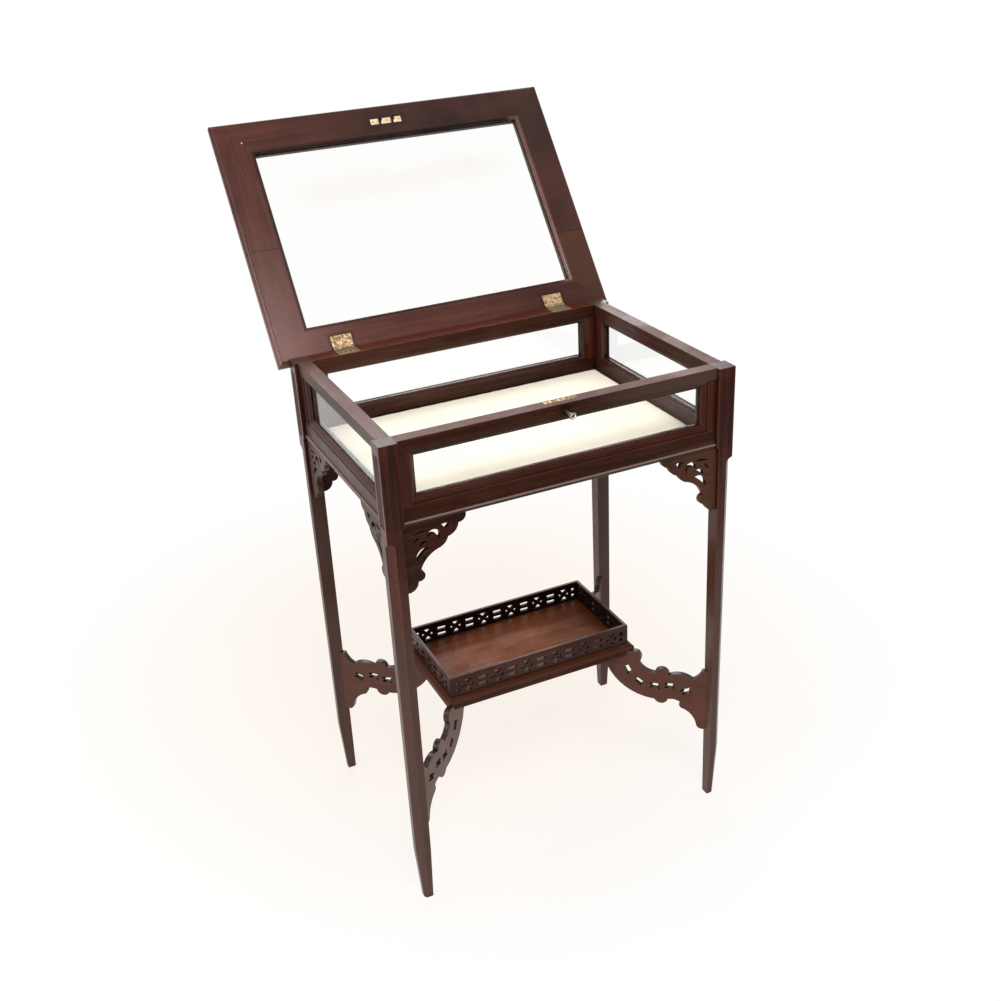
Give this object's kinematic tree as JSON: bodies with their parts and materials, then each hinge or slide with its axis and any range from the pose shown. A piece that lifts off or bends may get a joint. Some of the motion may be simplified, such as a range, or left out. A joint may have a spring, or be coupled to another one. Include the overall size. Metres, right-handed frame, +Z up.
{
  "type": "collectors display table",
  "caption": "Glazed display table with a lifting glazed lid, tapering legs, pierced brackets and a small galleried shelf on pierced curved stretchers.",
  "frame": {"origin": "on the floor under the middle of the case", "axes": "+X to the right seen from the front, +Y to the back, +Z up; the lid stands open at rest"},
  "size_m": [0.5624, 0.6544, 1.0537],
  "materials": {
    "mahogany": "polished",
    "shelf_mahogany": "polished",
    "dark_mahogany": "polished",
    "pine_board": "plain",
    "glass": "clear",
    "cream_cloth": "matt",
    "aged_brass": "aged",
    "bright_brass": "worn bright",
    "steel": "worn"
  },
  "bodies": {
    "table": {"leg_front_left": "mahogany", "leg_front_right": "mahogany", "leg_back_left": "mahogany", "leg_back_right": "mahogany", "front_top_rail": "mahogany", "back_top_rail": "mahogany", "left_top_rail": "mahogany", "right_top_rail": "mahogany", "front_bottom_rail": "mahogany", "back_bottom_rail": "mahogany", "left_bottom_rail": "mahogany", "right_bottom_rail": "mahogany", "front_stiles": "mahogany", "back_stiles": "mahogany", "left_stiles": "mahogany", "right_stiles": "mahogany", "front_pane": "glass", "back_pane": "glass", "left_pane": "glass", "right_pane": "glass", "case_glazing_beads": "mahogany", "base_bead_mouldings": "mahogany", "case_bottom_board": "pine_board", "display_lining": "cream_cloth", "front_bracket_left": "mahogany", "front_bracket_right": "mahogany", "back_bracket_left": "mahogany", "back_bracket_right": "mahogany", "left_bracket_front": "mahogany", "left_bracket_back": "mahogany", "right_bracket_front": "mahogany", "right_bracket_back": "mahogany", "shelf_board": "shelf_mahogany", "gallery_front": "mahogany", "gallery_back": "mahogany", "gallery_left": "mahogany", "gallery_right": "mahogany", "stretcher_front_left": "mahogany", "stretcher_front_right": "mahogany", "stretcher_back_left": "mahogany", "stretcher_back_right": "mahogany", "stretcher_dowels": "pine_board", "hinge_case_leaves": "aged_brass", "hinge_pins": "steel", "case_screws": "aged_brass", "lock_body": "bright_brass", "lock_drill_pin": "steel"},
    "lid": {"lid_front_rail": "mahogany", "lid_back_rail": "mahogany", "lid_left_rail": "mahogany", "lid_right_rail": "mahogany", "lid_glazing_beads": "mahogany", "lid_pane": "glass", "hinge_lid_leaves": "aged_brass", "lid_screws": "aged_brass", "link_plate": "bright_brass", "lid_patch": "dark_mahogany"},
    "key_body": {"key": "steel", "lock_drum": "bright_brass"},
    "bolt_body": {"lock_bolt": "steel"}
  },
  "joints": [
    {"name": "lid_hinge", "type": "hinge", "parent": "table", "child": "lid", "pos_m": [0, 0.1915, 0.7502], "axis": [1, 0, 0], "range_deg": [0, 127.7]},
    {"name": "key_turn", "type": "hinge", "parent": "table", "child": "key_body", "pos_m": [0, -0.19, 0.739], "axis": [0, 1, 0], "range_deg": [0, 180]},
    {"name": "bolt_slide", "type": "slide", "parent": "table", "child": "bolt_body", "axis": [1, 0, 0], "range_m": [0, 0.0045]}
  ],
  "couplings": [
    {"joint": "bolt_slide", "follows": "key_turn", "m_per_rad": 0.0014324}
  ]
}
